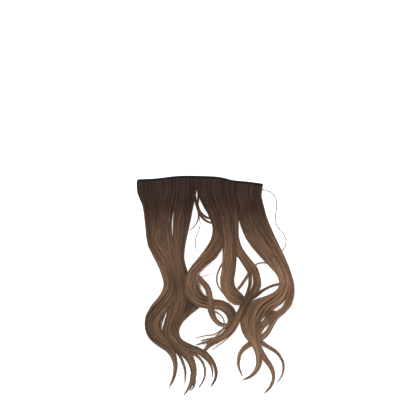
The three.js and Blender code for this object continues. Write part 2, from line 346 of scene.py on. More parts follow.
knots = walked(SEWN_EDGE)
edge_line = through(knots, SEWN_EDGE, np.linspace(0, knots[-1], FORM_SAMPLES))
edge_along = walked(edge_line)
edge_heading = unit(np.gradient(edge_line, edge_along, axis=0))
edge_length = edge_along[-1]


def edge_place(along, drop):
    """The place some way along the sewn edge and some way down from it."""
    heading = read_off(edge_along, edge_heading, along)
    down = np.stack([heading[..., 1], -heading[..., 0]], axis=-1)
    return read_off(edge_along, edge_line, along) + down * np.expand_dims(drop, -1)


clip_middle = np.mean(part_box("clip_1"), axis=0)[:2]
to_frame = clip_middle - edge_place(*map(np.float64, FIRST_CLIP))
edge_line += to_frame
print("edge length:", round(edge_length / MM, 1), "mm, moved by", np.round(to_frame / MM, 3), "mm")

# %% [markdown]
# ## The locks
# The hair lies in thirteen locks. Eight are sewn into the tracks, and the others leave them lower down.
# Each is a short table from root to tip, in millimetres: place, width seen from above, and the height of
# the underside, which rises where one lock is laid over another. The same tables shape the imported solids,
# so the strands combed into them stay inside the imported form.

# %% Left locks
LOCKS = {}
LOCKS["left_outer_lock"] = {"fall": "hair_left_fall", "sewn": (0, 36), "sections": [
    (-102, 135, 32, 2.5), (-100, 98, 25.5, 0), (-96.5, 68, 24, 0), (-85.5, 42, 20.5, 0), (-77, 17, 18, 0),
    (-74, -1, 19, 0), (-80, -21, 23, 0), (-93, -40, 26, 0), (-100.5, -58, 26, 0), (-97.5, -75, 24.5, 0),
    (-86.5, -87.5, 20.5, 0), (-72.5, -102.5, 13, 0), (-65.5, -120, 7.5, 0), (-65, -136, 5.5, 0),
    (-68.5, -150, 4, 0), (-76, -166, 1.5, 0),
]}
LOCKS["left_inner_lock"] = {"fall": "hair_left_fall", "sewn": (34, 64), "sections": [
    (-78, 135, 27, 2.5), (-81, 98, 21, 0), (-78, 68, 21, 0), (-70, 42, 19, 0), (-63, 17, 17, 0),
    (-59, -1, 19, 0), (-59, -21, 25, 0), (-66, -40, 29, 0), (-73.5, -58, 24, 0), (-76, -74, 24, 0),
    (-66, -90, 22, 0), (-50, -104, 17, 0), (-40, -119, 12, 0), (-35.5, -135, 9.5, 0), (-36.5, -151, 7, 0),
    (-43, -165, 4, 0), (-49, -174, 1.5, 0),
]}
LOCKS["left_sweep_lock"] = {"fall": "hair_left_fall", "sewn": (62, 95), "sections": [
    (-50, 135, 31, 2.5), (-55.5, 98, 27, 0), (-58.5, 68, 20, 0), (-58, 42, 15, 0), (-51.5, 17, 16.5, 0),
    (-45, -2, 16, 0), (-39.5, -21, 15, 0), (-44, -38, 14, 0), (-57.5, -54, 12.5, 0), (-64.5, -70, 12, 0),
    (-60.5, -87, 11.5, 0), (-46.5, -97.5, 12, 0), (-30, -103, 11, 0), (-14, -111, 8, 0), (-2.5, -126, 5, 0),
    (1, -141, 4, 0), (-3, -154, 3, 0), (-12, -166, 1.5, 0),
]}
LOCKS["left_outer_wisp"] = {"fall": "hair_left_fall", "sections": [
    (-71, -91, 7, 0), (-62, -105, 5, 0), (-54, -119, 4, 0), (-49, -137, 3, 0), (-50, -161, 1.5, 0),
]}
LOCKS["left_inner_wisp"] = {"fall": "hair_left_fall", "sections": [
    (-50, -101, 7, 0), (-38.5, -107, 4.5, 0), (-26.5, -115, 3.5, 0), (-18, -130, 3, 0),
    (-18, -146, 2.5, 0), (-29, -166, 1.5, 0),
]}
print("left locks:", len(LOCKS))

# %% Middle locks
LOCKS["curl_lock"] = {"fall": "hair_middle_fall", "sewn": (95.8, 125), "sections": [
    (-11, 135, 23, 2.5), (-3, 118, 20, 0.5), (4, 92, 18, 0), (2, 70, 22, 0), (-9, 51.5, 22, 0.5),
    (-23.5, 36.5, 17.5, 4), (-36, 20, 17.5, 6.5), (-38, 4, 22.5, 7), (-34.5, -12.5, 23.5, 7),
    (-25, -22, 21.5, 7), (-8, -28.5, 16.5, 2.5), (8, -31, 15, 0), (22, -40.5, 16, 0), (26.5, -53, 15, 0),
    (20.5, -69.5, 13, 0), (5.5, -83, 11, 1), (-9, -92.5, 8.5, 3.5), (-18, -103, 3.5, 5),
]}
LOCKS["curl_loop"] = {"fall": "hair_middle_fall", "sections": [
    (-35, 27, 8, 5), (-28, 13.5, 8, 6.5), (-20.5, 6, 9, 3.5), (-13.5, -3, 9.5, 2.5),
    (-10.5, -12, 9.5, 4.5), (-9.5, -24, 10, 6.5), (-8.5, -35, 10, 5), (-5.5, -46, 9.5, 1.5),
    (-1.5, -53.5, 8, 0.5), (5, -60, 7, 0), (14, -63, 5.5, 0), (22, -61, 5.5, 1), (29, -54, 5, 3.5),
    (36, -42, 5, 4),
]}
LOCKS["straight_lock"] = {"fall": "hair_middle_fall", "sewn": (123, 149), "sections": [
    (12, 135, 23, 2.5), (18, 108, 20, 0), (21, 76, 21, 0), (22, 51, 22.5, 0), (20.5, 25, 22, 0),
    (18, 9, 22, 0), (20.5, -4, 22, 0), (27.5, -15, 22.5, 0), (36.5, -21.5, 21, 0), (47, -27, 10, 0),
]}
LOCKS["crossing_lock"] = {"fall": "hair_middle_fall", "sewn": (146, 160.3), "sections": [
    (28, 135, 15, 2.5), (30, 108, 13, 0), (30.5, 76, 13.5, 0), (36, 58, 13.5, 0), (43.5, 46.5, 14, 0),
    (51.5, 35.5, 15.5, 0), (58.5, 25, 17.5, 0), (62, 12, 18.5, 0), (61.5, -1, 19.5, 1), (57, -10, 16.5, 2.5),
    (50.5, -19, 11.5, 4), (43, -33.5, 9.5, 4.5), (33, -54.5, 11.5, 4), (23.5, -71, 12.5, 3.5),
    (5.5, -84.5, 11.5, 4), (-13, -92, 6, 5), (-30, -92.5, 1.5, 5.5),
]}
print("left and middle locks:", len(LOCKS))

# %% Right locks
LOCKS["right_main_lock"] = {"fall": "hair_right_fall", "sewn": (161, 188), "sections": [
    (50.5, 129, 26.5, 2.5), (53, 105, 30.5, 0), (63, 81, 30.5, 0), (77.5, 59, 26.5, 0), (94, 37, 20, 0),
    (106, 17, 14.5, 0), (109.5, -1, 16.5, 0), (101.5, -17.5, 23, 0), (81, -29.5, 26.5, 0),
    (71, -35.5, 32.5, 0), (63, -44, 33.5, 0), (55.5, -60, 33, 0), (56, -75, 24.5, 1), (61, -89, 13, 3.5),
    (67, -103, 10.5, 3), (69.5, -116, 9.5, 0.5), (66.5, -132, 7, 0), (55, -145.5, 4, 0), (36, -152.5, 1.5, 0),
]}
LOCKS["right_outer_lock"] = {"fall": "hair_right_fall", "sewn": (186, 201.5), "sections": [
    (69, 129, 14, 2.5), (76, 105, 14, 0), (86, 81, 14, 0), (97, 59, 13, 0), (108, 37, 12, 0),
    (115.5, 17, 12, 0), (119.5, -2, 12, 0), (117.5, -21, 12.5, 0), (108.5, -38, 10.5, 0),
    (96.5, -49, 9.5, 0), (90, -61.5, 7.5, 0), (82, -75, 7.5, 0), (66, -88, 8, 0), (51, -95, 8.5, 0),
    (39.5, -107, 6, 0), (36, -125, 3.5, 0), (44, -148, 1.5, 0),
]}
LOCKS["right_branch_lock"] = {"fall": "hair_right_fall", "sections": [
    (100, -43.5, 6, 0.5), (85, -52.5, 12.5, 0.5), (72, -68.5, 8, 0.5), (66, -86, 8, 2.5), (71.5, -103, 8, 3),
    (80.5, -118.5, 8.5, 0.5), (88.5, -130, 7, 0), (92.5, -146, 5, 0), (87, -162, 4, 0), (74, -175, 1.5, 0),
]}
LOCKS["right_wisp"] = {"fall": "hair_right_fall", "sections": [
    (59, -70, 8, 1), (68, -86, 7, 0.5), (84, -97.5, 5.5, 0), (98.5, -107.5, 4.5, 0), (107, -122.5, 3, 0),
    (107, -140.5, 2.5, 0), (94, -160, 1.5, 0),
]}
print("all locks:", len(LOCKS))

# %% [markdown]
# ## From a table to a lock's form
# Between the rows of its table a lock runs smoothly. One object per lock keeps its middle line, its
# width, its thickness and its underside, sampled finely. Strands bend only where the lock bends, so the
# places where each strand gets a ring of points are packed closer in the curls and wider on the straights.

# %% Form of a lock
ROOT_DROPS = (1.5, 6.3, 17.3)  # down from the edge: inside the track, in the head, just below it
HEAD_LOW = 5.6
HEAD_THICKNESS = 3.0
THINNEST = 0.6 * MM
LONGEST_STEP = 30 * MM
LARGEST_TURN = np.radians(9.5)
END_STEP = 1.2 * MM  # from a strand's pointed end to its first ring


class LockForm:
    """The outer form of one lock, finely sampled from its root to its tip."""

    def __init__(self, sections, sewn=None):
        rows = np.array([(x, y, width, base, min(9.0, 1 + 0.3 * width)) for x, y, width, base in sections])
        rows = MM * rows
        rows[:, :2] += to_frame
        if sewn:
            rows = np.vstack([self.root_rows(*sewn), rows])
        knots = walked(rows[:, :2])
        fine = through(knots, rows, np.linspace(0, knots[-1], FORM_SAMPLES))
        self.place = fine[:, :2]
        self.along = walked(self.place)
        self.length = self.along[-1]
        heading = unit(np.gradient(self.place, self.along, axis=0))
        self.across = np.column_stack([-heading[:, 1], heading[:, 0]])
        self.width = np.maximum(fine[:, 2], THINNEST)
        self.base = np.maximum(fine[:, 3], 0)
        self.thickness = np.maximum(fine[:, 4], THINNEST)

    def root_rows(self, first, last):
        """Rows for the flat head, where the lock is as wide as the stretch that it is sewn into."""
        drops = MM * np.array(ROOT_DROPS)
        places = edge_place(np.full(len(drops), MM * (first + last) / 2), drops)
        sizes = MM * np.array([last - first, HEAD_LOW, HEAD_THICKNESS])
        return np.column_stack([places, np.tile(sizes, (len(drops), 1))])

    def stations(self):
        """Shares of the length where strands get a ring, closer together in the bends."""
        turns = np.arcsin(np.clip(np.cross(self.across[:-1], self.across[1:]), -1, 1))
        effort = self.along / LONGEST_STEP
        effort[1:] += np.cumsum(np.abs(turns)) / LARGEST_TURN
        rings = int(np.ceil(effort[-1])) + 1
        even = np.interp(np.linspace(0, effort[-1], rings), effort, self.along) / self.length
        return np.concatenate([[0, END_STEP / self.length], even[1:-1], [1 - END_STEP / self.length, 1]])


forms = {name: LockForm(lock["sections"], lock.get("sewn")) for name, lock in LOCKS.items()}
for name, form in forms.items():
    print(name, round(form.length / MM), "mm,", len(form.stations()), "stations")

# %% [markdown]
# ## Combing strands into a lock
# Blender has a hair system of its own, but it can't be kept as plain meshes, and here the strands are the
# part. Each strand is a list of points worked out with arrays. At the root the strands stand evenly in the
# head. A few centimetres down every other strand joins a clump. The clumps wander a little, twist over
# each other and end at different lengths, which makes streaks in a lock and wisps at its tip. The rest
# lie evenly below them and close the gaps.

# %% Places in a lock's section
CLUMP_PITCH = 1.7 * MM
CLUMPS_IN_SHEAF = 4  # neighbours that share some of their tone
STREAKS = 0.45  # how much more the sheaves differ in tone towards the tips
STREAKS_FROM = 120 * MM
STREAKS_FULL = 250 * MM
GATHER_START = 15 * MM
GATHER_END = 110 * MM
CLUMP_WANDER = 0.10
# Painted shade: strands below the clumps keep this share of their tone, as if the clumps above shadow them.
UNDER_PAINTED_SHADE = 0.6
UNDER_WANDER = 0.004
ROOT_TONE = 0.4
ROOT_EVENNESS = 0.5  # share of the strands' differences in tone that is gone at the roots
SIDE_SHADE = 0.22  # how much less light reaches the sides of a lock than its middle
TWIST = 0.45
EDGE_POWER = 2.5  # of the superellipse that a lock's section follows
TURN = 2 * np.pi


def eased(share):
    """A share held to 0 and 1, with a soft start and end."""
    held = np.clip(share, 0, 1)
    return held * held * (3 - 2 * held)


def sway(rng, rows, along, wave):
    """A slow wave along each row, with its own start and length."""
    shift = rng.uniform(0, TURN, (rows, 1))
    waves = wave * rng.uniform(0.7, 1.4, (rows, 1))
    return np.sin(TURN * along / waves + shift)


def lies_under(count):
    """Which strands lie evenly below the clumps: every other one."""
    return (np.arange(count) % 2 == 1)[:, None]


def gather(along, member, clumps, rng):
    """Side and height of every strand in its lock's section, both from -1 to 1, and its tone with painted
    shade at the lock's sides and below the clumps.
    """
    count = len(along)
    root_side = ((2 * np.arange(count) + rng.uniform(0, 2, count)) / count - 1)[:, None]
    root_height = rng.uniform(-0.9, 0.9, (count, 1))
    mean_along = along.mean(axis=0)
    clump_side = 2 * (np.arange(clumps) + rng.uniform(0.25, 0.75, clumps)) / clumps - 1
    clump_height = rng.uniform(-0.3, 0.8, clumps)
    spread = rng.normal(0, 0.5, (count, 2)) * (1.1 / clumps + 0.05, 0.4)
    side = clump_side[member, None] + CLUMP_WANDER * sway(rng, clumps, mean_along, 160 * MM)[member]
    height = clump_height[member, None] + 0.3 * sway(rng, clumps, mean_along, 120 * MM)[member]
    under = lies_under(count)
    even_side = root_side + UNDER_WANDER * sway(rng, count, along, 140 * MM)
    side = np.where(under, even_side, side + spread[:, :1])
    room = (1 - np.abs(root_side) ** EDGE_POWER) ** (1 / EDGE_POWER)
    height = np.where(under, room * (0.5 * root_height - 0.45), height + spread[:, 1:])
    gathered = eased((along - GATHER_START) / (GATHER_END - GATHER_START))
    side = root_side + gathered * (side - root_side)
    height = root_height + gathered * (height - root_height)
    turn = TWIST * gathered * np.sin(TURN * along / (170 * MM) + rng.uniform(0, TURN))
    turn = np.where(under, 0, turn)
    side, height = side * np.cos(turn) - height * np.sin(turn), side * np.sin(turn) + height * np.cos(turn)
    reach = (np.abs(side) ** EDGE_POWER + np.abs(height) ** EDGE_POWER) ** (1 / EDGE_POWER)
    inside = 1 / np.maximum(1, reach)
    sheaf_tone = rng.uniform(0, 1, clumps)[member // CLUMPS_IN_SHEAF]
    tones_and_shade = 0.15 * sheaf_tone + 0.5 * rng.uniform(0, 1, clumps)[member] + 0.35 * rng.uniform(0, 1, count)
    streaks = STREAKS * eased((along - STREAKS_FROM) / (STREAKS_FULL - STREAKS_FROM))
    tones_and_shade = tones_and_shade[:, None] + streaks * (sheaf_tone[:, None] - 0.5)
    tones_and_shade = np.where(under, UNDER_PAINTED_SHADE, 1) * tones_and_shade - SIDE_SHADE * (side * inside) ** 4
    tones_and_shade = ROOT_TONE + (tones_and_shade - ROOT_TONE) * (1 - ROOT_EVENNESS * (1 - gathered))
    return side * inside, height * inside, tones_and_shade


print("clumps are", CLUMP_PITCH / MM, "mm apart in the widest part of a lock")

# %% Comb
STRAND_RADIUS = 0.30 * MM
STRAND_TAPER = 0.65  # share of the radius that is gone at the tip
TAPER_LENGTH = 40 * MM  # or this share of a short strand
TAPER_SHARE = 0.4
TIP_POWER = 0.6  # the lower it is, the fewer strands reach the very tip
UNDER_THICKNESS = 1.6  # times as thick as those above them
THICK_FROM = 2.5 * MM  # wisps narrower than this have finer strands
FINEST = 0.5  # share of the thickness that the narrowest wisps keep
SHORTEST_STRAND = 0.8
FRIZZ_SHARE = 0.04
FRIZZ_REACH = 1.5 * MM
STRAND_SWAY = 0.3 * MM
UNDER_SWAY = 0.08 * MM
ROOT_FULLNESS = 0.05  # how much wider than its form a lock's hair fans out near the roots
FULL_UNTIL = 60 * MM
PARTING_SOFTNESS = 4 * MM  # how far beside a parting its strands are still pushed aside


def parted(form, along, out, partings):
    """How far strands move aside where the lock is parted: two ends and half the gap, in mm.

    Each strand passes a parting on one side only, the side where most of it lies.
    """
    push = np.zeros_like(out)
    for x, y, end_x, end_y, half_gap in MM * np.array(partings):
        reach = np.array((end_x - x, end_y - y)) / 2
        away = np.array((x, y)) + reach + to_frame - form.place
        nearest = np.argmin(np.linalg.norm(away, axis=1))
        across = form.across[nearest]
        slope = (reach @ across) / (reach @ (across[1], -across[0]))
        onward = along - form.along[nearest]
        beside = out - away[nearest] @ across - slope * onward
        near = np.exp(-((onward / np.linalg.norm(reach)) ** 2))
        passes = np.sign((near * beside).sum(axis=1, keepdims=True))
        softly = half_gap * np.exp(-np.abs(beside) / PARTING_SOFTNESS)
        push += passes * near * np.clip(half_gap - passes * beside, softly, 3 * half_gap)
    return push


def comb(form, count, rng, shortest=SHORTEST_STRAND, partings=(), stations=None, taper=STRAND_TAPER):
    """Strands inside a lock's form: their points, their radii and their tones, which carry painted shade."""
    clumps = max(2, round(form.width.max() / CLUMP_PITCH))
    member = np.arange(count) * clumps // count
    clump_end = 1 - 0.4 * (1 - shortest) * rng.uniform(0, 1, clumps)
    clump_end[rng.integers(clumps)] = 1
    strand_end = clump_end[member] * (1 - (1 - shortest) * rng.uniform(0, 1, count) ** TIP_POWER)
    along = form.length * strand_end[:, None] * (form.stations() if stations is None else stations)
    side, height, tones_and_shade = gather(along, member, clumps, rng)
    under = lies_under(count)

    fanned = 1 + ROOT_FULLNESS * (1 - eased(along / FULL_UNTIL))
    out = side * fanned * np.interp(along, form.along, form.width) / 2
    loose = STRAND_SWAY + FRIZZ_REACH * (rng.uniform(0, 1, (count, 1)) < FRIZZ_SHARE)
    loose = np.where(under, UNDER_SWAY, loose)
    out += loose * eased(along / GATHER_END) * sway(rng, count, along, 55 * MM)
    out += parted(form, along, out, partings)
    lift = (1 + height) * np.interp(along, form.along, form.thickness) / 2
    lift += np.interp(along, form.along, form.base)

    ends = along[:, -1:]
    ending = np.clip(1 - (ends - along) / np.minimum(TAPER_LENGTH, TAPER_SHARE * ends), 0, 1)
    fineness = np.clip(form.width.max() / THICK_FROM, FINEST, 1) * np.where(under, UNDER_THICKNESS, 1)
    radii = STRAND_RADIUS * fineness * rng.uniform(0.8, 1.15, (count, 1)) * (1 - taper * ending**2)
    aside = read_off(form.along, form.across, along) * out[..., None]
    place = read_off(form.along, form.place, along) + aside
    return np.dstack([place, np.maximum(lift, radii)]), radii, tones_and_shade


print("comb ready, strands", 2 * STRAND_RADIUS / MM, "mm thick")

# %% [markdown]
# ## Strands as closed tubes
# A strand could be a flat ribbon, which takes a third of the faces, but a ribbon has no back and no
# shine across it. Each strand here is a closed tube with three smooth-shaded sides that runs to a point
# at both ends. All the strands of a lock go into one mesh, written in a few array calls. Its texture map
# gives every strand a column of its own, so that its colour can be baked along its length.

# %% Mesh of many tubes
FADE_JITTER = 9 * MM
PALER_FROM = 45 * MM  # below the edge, where a paler lock begins to differ
PALER_SPAN = 140 * MM
edge_top = float(edge_line[:, 1].max())


def tube_rings(points, radii, sides):
    """Rings of points round each line, leaving out its two ends."""
    heading = unit(np.gradient(points, axis=1))
    level = unit(np.cross(heading, (0.0, 0.0, 1.0)))
    upright = np.cross(level, heading)
    angles = TURN * np.arange(sides) / sides + TURN / 4
    spokes = level[:, :, None] * np.cos(angles)[:, None] + upright[:, :, None] * np.sin(angles)[:, None]
    rings = points[:, :, None] + radii[:, :, None, None] * spokes
    return rings[:, 1:-1], points[:, [0, -1]]


def tube_faces(rings, sides):
    """Corners and map places of one tube's faces: four-cornered walls, then pointed ends."""
    ring, side = np.meshgrid(np.arange(rings - 1), np.arange(sides), indexing="ij")
    ring, side = ring.ravel(), side.ravel()
    beside = (side + 1) % sides
    walls = np.stack([ring * sides + side, ring * sides + beside], axis=1)
    walls = np.column_stack([walls, walls[:, ::-1] + sides])
    low, high = (ring + 1) / (rings + 1), (ring + 2) / (rings + 1)
    left, right = side / sides, (side + 1) / sides
    wall_map = np.stack([[left, low], [right, low], [right, high], [left, high]]).transpose(2, 0, 1)
    side = np.arange(sides)
    beside = (side + 1) % sides
    root, last = rings * sides, (rings - 1) * sides
    ends = np.vstack([
        np.column_stack([beside, side, np.full(sides, root)]),
        np.column_stack([last + side, last + beside, np.full(sides, root + 1)]),
    ])
    left, middle, right = side / sides, (side + 0.5) / sides, (side + 1) / sides
    first, final = np.full(sides, 1 / (rings + 1)), np.full(sides, rings / (rings + 1))
    end_map = np.vstack([
        np.stack([[right, first], [left, first], [middle, 0 * middle]]).transpose(2, 0, 1),
        np.stack([[left, final], [right, final], [middle, 0 * middle + 1]]).transpose(2, 0, 1),
    ])
    return walls, wall_map, ends, end_map


print("tube helpers ready")


# %% One piece from many tubes
def tube_mesh(name, rings, tips, material, values=None):
    """A mesh of closed tubes, with any per-point values that its finish reads."""
    count, ring_count, sides = rings.shape[:3]
    each = ring_count * sides + 2
    points = np.concatenate([rings.reshape(count, -1, 3), tips], axis=1)
    walls, wall_map, ends, end_map = tube_faces(ring_count, sides)
    step = each * np.arange(count)[:, None, None]
    corners = np.concatenate([(walls + step).ravel(), (ends + step).ravel()])
    column = np.arange(count)[:, None, None]
    maps = []
    for face_map in (wall_map, end_map):
        u = (face_map[None, ..., 0] + column) / count
        v = np.broadcast_to(face_map[None, ..., 1], u.shape)
        maps.append(np.stack([u, v], axis=-1).reshape(-1, 2))
    wall_total, end_total = count * len(walls), count * len(ends)
    starts = np.concatenate([4 * np.arange(wall_total), 4 * wall_total + 3 * np.arange(end_total)])

    mesh = bpy.data.meshes.new(name)
    mesh.vertices.add(count * each)
    mesh.vertices.foreach_set("co", points.astype(np.float32).ravel())
    mesh.loops.add(len(corners))
    mesh.loops.foreach_set("vertex_index", corners.astype(np.int32))
    mesh.polygons.add(len(starts))
    mesh.polygons.foreach_set("loop_start", starts.astype(np.int32))
    mesh.update(calc_edges=True)
    mesh.shade_smooth()
    texture_map = mesh.uv_layers.new(name="OFBake")
    texture_map.uv.foreach_set("vector", np.concatenate(maps).astype(np.float32).ravel())
    for value_name, numbers in (values or {}).items():
        ring_numbers = np.repeat(numbers[:, 1:-1], sides, axis=1)
        both = np.concatenate([ring_numbers, numbers[:, [0, -1]]], axis=1)
        attribute = mesh.attributes.new(value_name, "FLOAT", "POINT")
        attribute.data.foreach_set("value", both.astype(np.float32).ravel())
    mesh.materials.append(material)
    return mesh


def dress(name, mesh, slot, *nodes):
    """Puts a finished mesh on the part, in the place of the nodes that it stands for."""
    piece = add_object(name, mesh)
    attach(piece, "root")
    if nodes:
        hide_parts(*nodes)
    faces = sum(len(polygon.vertices) - 2 for polygon in mesh.polygons)
    print(name, "has", faces, "triangles")
    return piece


def hair_piece(name, strands, rng, paler=0.0, falls=()):
    """A piece of hair from lines, radii and tones, faded from the sewn edge down."""
    points, radii, tones_and_shade = strands
    rings, tips = tube_rings(points, radii, 3)
    jitter = FADE_JITTER * rng.normal(0, 1, (len(points), 1))
    fade = np.maximum(edge_top - points[..., 1] + jitter, 0)
    values = {"fade": fade, "tone": tones_and_shade + paler * eased((fade - PALER_FROM) / PALER_SPAN)}
    mesh = tube_mesh(name, rings, tips, hair_finish, values)
    return dress(name, mesh, "hair", *falls)


# %% [markdown]
# ## All the locks
# A sewn lock has as many strands as its stretch of track holds, or more where it spreads wide, and a lock
# that leaves another has as many as its width asks for. Every lock gets random numbers of its own from a
# fixed seed, so the hair falls the same way each time, also when another lock changes. Some locks took
# the dye better than others and come out paler.

# %% How the locks differ
PALER = {
    "curl_lock": 0.4, "curl_loop": 0.25, "straight_lock": 0.5, "crossing_lock": 0.35,
    "right_main_lock": 0.55, "right_outer_lock": 0.4, "right_branch_lock": 0.35, "right_wisp": 0.3,
    "left_outer_lock": 0.2, "left_inner_lock": 0.2, "left_sweep_lock": 0.0,
    "left_outer_wisp": 0.2, "left_inner_wisp": 0.2,
}
SHORTEST = {
    "straight_lock": 0.99, "curl_loop": 0.97, "curl_lock": 0.96, "crossing_lock": 0.8,
    "left_outer_lock": 0.93, "left_inner_lock": 0.91, "left_sweep_lock": 0.93,
    "right_main_lock": 0.93, "right_outer_lock": 0.96, "right_branch_lock": 0.9,
}
TUCKED = ("straight_lock", "curl_loop")  # their ends lie under another lock
LEFT_SLITS = [(-69.2, 121, -70.2, 75, 0.4), (-78.5, -43, -89, -71, 1.4)]
TAIL_SLITS = [(16, -69, 3.5, -80, 1.4), (23, -79.5, 2, -94.5, 1.1)]
RIGHT_SLITS = [(113, -24, 95, -41, 1.8), (80, -48, 70.5, -58.5, 1.4)]
PARTINGS = {
    "left_outer_lock": LEFT_SLITS, "left_inner_lock": LEFT_SLITS, "left_sweep_lock": LEFT_SLITS,
    "crossing_lock": [(59.5, 20, 58.5, -8, 1.5), *TAIL_SLITS], "curl_lock": TAIL_SLITS[:1],
    "right_main_lock": RIGHT_SLITS, "right_outer_lock": RIGHT_SLITS, "right_branch_lock": RIGHT_SLITS,
}
SHADES = [  # locks, place, reach and depth of patches of painted shade, mostly where another lock lies over them; a depth below 0 is painted light
    (("left",), (-56, 2), 19, 0.32),
    (("left",), (-41, -36), 13, 0.3),
    (("left_sweep",), (-48, -42), 16, 0.2),
    (("straight", "right_main"), (45, -27), 13, 0.6),
    (("crossing",), (44, -24), 14, 0.9),
    (("curl_lock",), (28, -46), 12, 0.5),
    (("curl_lock",), (-17, -22), 8, 0.25),
    (("curl_lock", "straight"), (14, 88), 25, 0.16),
    (("left",), (-44, -103), 15, 0.14),
    (("right_main", "right_branch", "loose_strands_right"), (86, -47), 8, 0.5),
    # painted light: a depth below 0 lightens the tail of the middle fall
    (("crossing", "loose_strands_middle"), (7, -81), 24, -0.35),
    (("loose_strands_right",), (76, -8), 25, 0.35),
]
DARKEST_TONE = -0.08  # a shade makes no strand darker than this


def shaded(name, points, tones_and_shade):
    """Tones darkened by painted shade, mostly where another lock keeps the light off, and lightened by
    painted light where a depth is below 0.
    """
    for starts, place, reach, depth in SHADES:
        if name.startswith(starts):
            away = np.linalg.norm(points[..., :2] - to_frame - MM * np.array(place), axis=-1)
            darker = tones_and_shade - depth * np.exp(-((away / (reach * MM)) ** 2))
            tones_and_shade = np.maximum(darker, np.minimum(tones_and_shade, DARKEST_TONE))
    return tones_and_shade


print("paler locks:", len(PALER), "shades:", len(SHADES))

# %% Comb every lock
STRANDS_PER_MM = 12
SEED = 7300

combed = {}
for index, (name, lock) in enumerate(LOCKS.items()):
    rng = np.random.default_rng(SEED + index)
    form = forms[name]
    count = round(STRANDS_PER_MM * form.width.max() / MM)
    shortest = SHORTEST.get(name, SHORTEST_STRAND)
    taper = 0 if name in TUCKED else STRAND_TAPER
    points, radii, tones_and_shade = comb(form, count, rng, shortest, PARTINGS.get(name, ()), None, taper)
    combed[name] = points, radii, shaded(name, points, tones_and_shade)
    hair_piece(name, combed[name], rng, PALER.get(name, 0.0), [lock["fall"]])

# %% [markdown]
# ## Loose strands
# Here and there a few hairs leave their lock and lie on the table by themselves, or cross over to the
# next one. They are too thin to be solids. Each is a small lock with a table of its own, combed in the
# same way, and those that hang from one fall are joined into one piece.

# %% Tables of the loose strands
LOOSE = {"left": [], "middle": [], "right": []}
LOOSE["left"] += [
    [(-28, 163, 4, 5.5), (-27.5, 152, 3.5, 5), (-28, 141, 3, 3), (-29, 131, 3, 2), (-26, 121, 3, 1),
     (-20, 113, 3.5, 1), (-14, 109, 3.5, 1), (-4, 108, 3, 1)],
    [(-32.5, 163, 4, 5.5), (-33.5, 152, 3.5, 5), (-33.5, 142, 3, 3), (-31, 132, 4, 2), (-28.5, 122, 4, 1),
     (-25, 113.5, 4, 0), (-19, 106.5, 4, 0), (-12, 102, 3.5, 0), (-2, 99.5, 3, 0)],
    [(-33.5, 145, 3, 3), (-30.5, 130, 3, 1), (-27.5, 113, 2.5, 0), (-29.5, 103, 1.5, 0), (-35.5, 94, 1.2, 0),
     (-43.5, 87.5, 1, 0)],
    [(-35.5, -144, 4, 0), (-34, -154, 3.5, 0), (-35.5, -162, 2, 0), (-42, -169, 0.8, 0)],
    [(-38, -142, 5, 0), (-40, -154, 4, 0), (-45, -165.5, 3, 0), (-52, -176, 1, 0)],
    [(-28, -106, 5, 0), (-17, -115.5, 4, 0), (-9, -125, 3.5, 0), (-5.5, -136.5, 2.5, 0), (-6, -149, 1, 0)],
    [(-20, -26, 5, 1), (-29.2, -31.8, 8, 1), (-38.2, -39.3, 8, 1), (-46.4, -45.8, 7, 1), (-52, -52.5, 4.5, 2),
     (-59, -60.5, 3, 3)],
]
LOOSE["middle"] += [
    [(30, 70, 5, 1), (33, 55, 5, 0.5), (34.5, 45, 2, 0)],
    [(58, 28, 4.5, 0), (53.5, 20, 4.5, 0), (47, 10.5, 4.5, 0), (40.5, 1, 4.5, 0), (33, -8, 4.5, 2)],
    [(15, 44, 3, 1), (6, 28, 2.6, 0), (1.8, 15.5, 2.6, 0), (2.5, 3, 2.6, 0), (7.5, -6, 2.6, 0),
     (16, -17, 2.6, 1)],
    [(-26, 13.5, 1, 8), (-21, 15, 1, 3), (-11, 17.5, 1, 0), (1, 20.5, 1, 0)],
    [(-2, -40.5, 2.2, 3), (6, -45, 2.2, 1), (11.5, -51.5, 2.2, 0), (14, -61, 2.2, 2)],
    [(-27, 112, 1.2, 0), (-25, 100, 1.2, 0), (-32.5, 70, 1, 0), (-30, 55.5, 1, 0), (-20, 57.5, 1, 0)],
    [(4, -83, 8, 2), (-8, -91.5, 7, 3), (-15, -99.5, 6, 4), (-21, -107, 5, 5)],
    [(18, -63, 3, 2), (9, -70.5, 2.4, 2), (-1.5, -77, 2, 1), (-18, -80, 1.4, 0), (-37, -84.5, 1, 0)],
    [(17, -77, 3, 1), (6, -81.5, 3.5, 2), (-4, -83.5, 4, 3), (-14, -85.5, 3, 2), (-26, -88.5, 1.5, 1)],
    [(2, -83.5, 4, 3), (-8, -88.5, 4, 3), (-20, -91, 3, 2), (-34, -95, 1.2, 2)],
    [(27, -75, 1.5, 2), (15.7, -86.8, 1.4, 0), (1.2, -97.6, 1.2, 0), (-9.7, -105.8, 1, 1)],
]
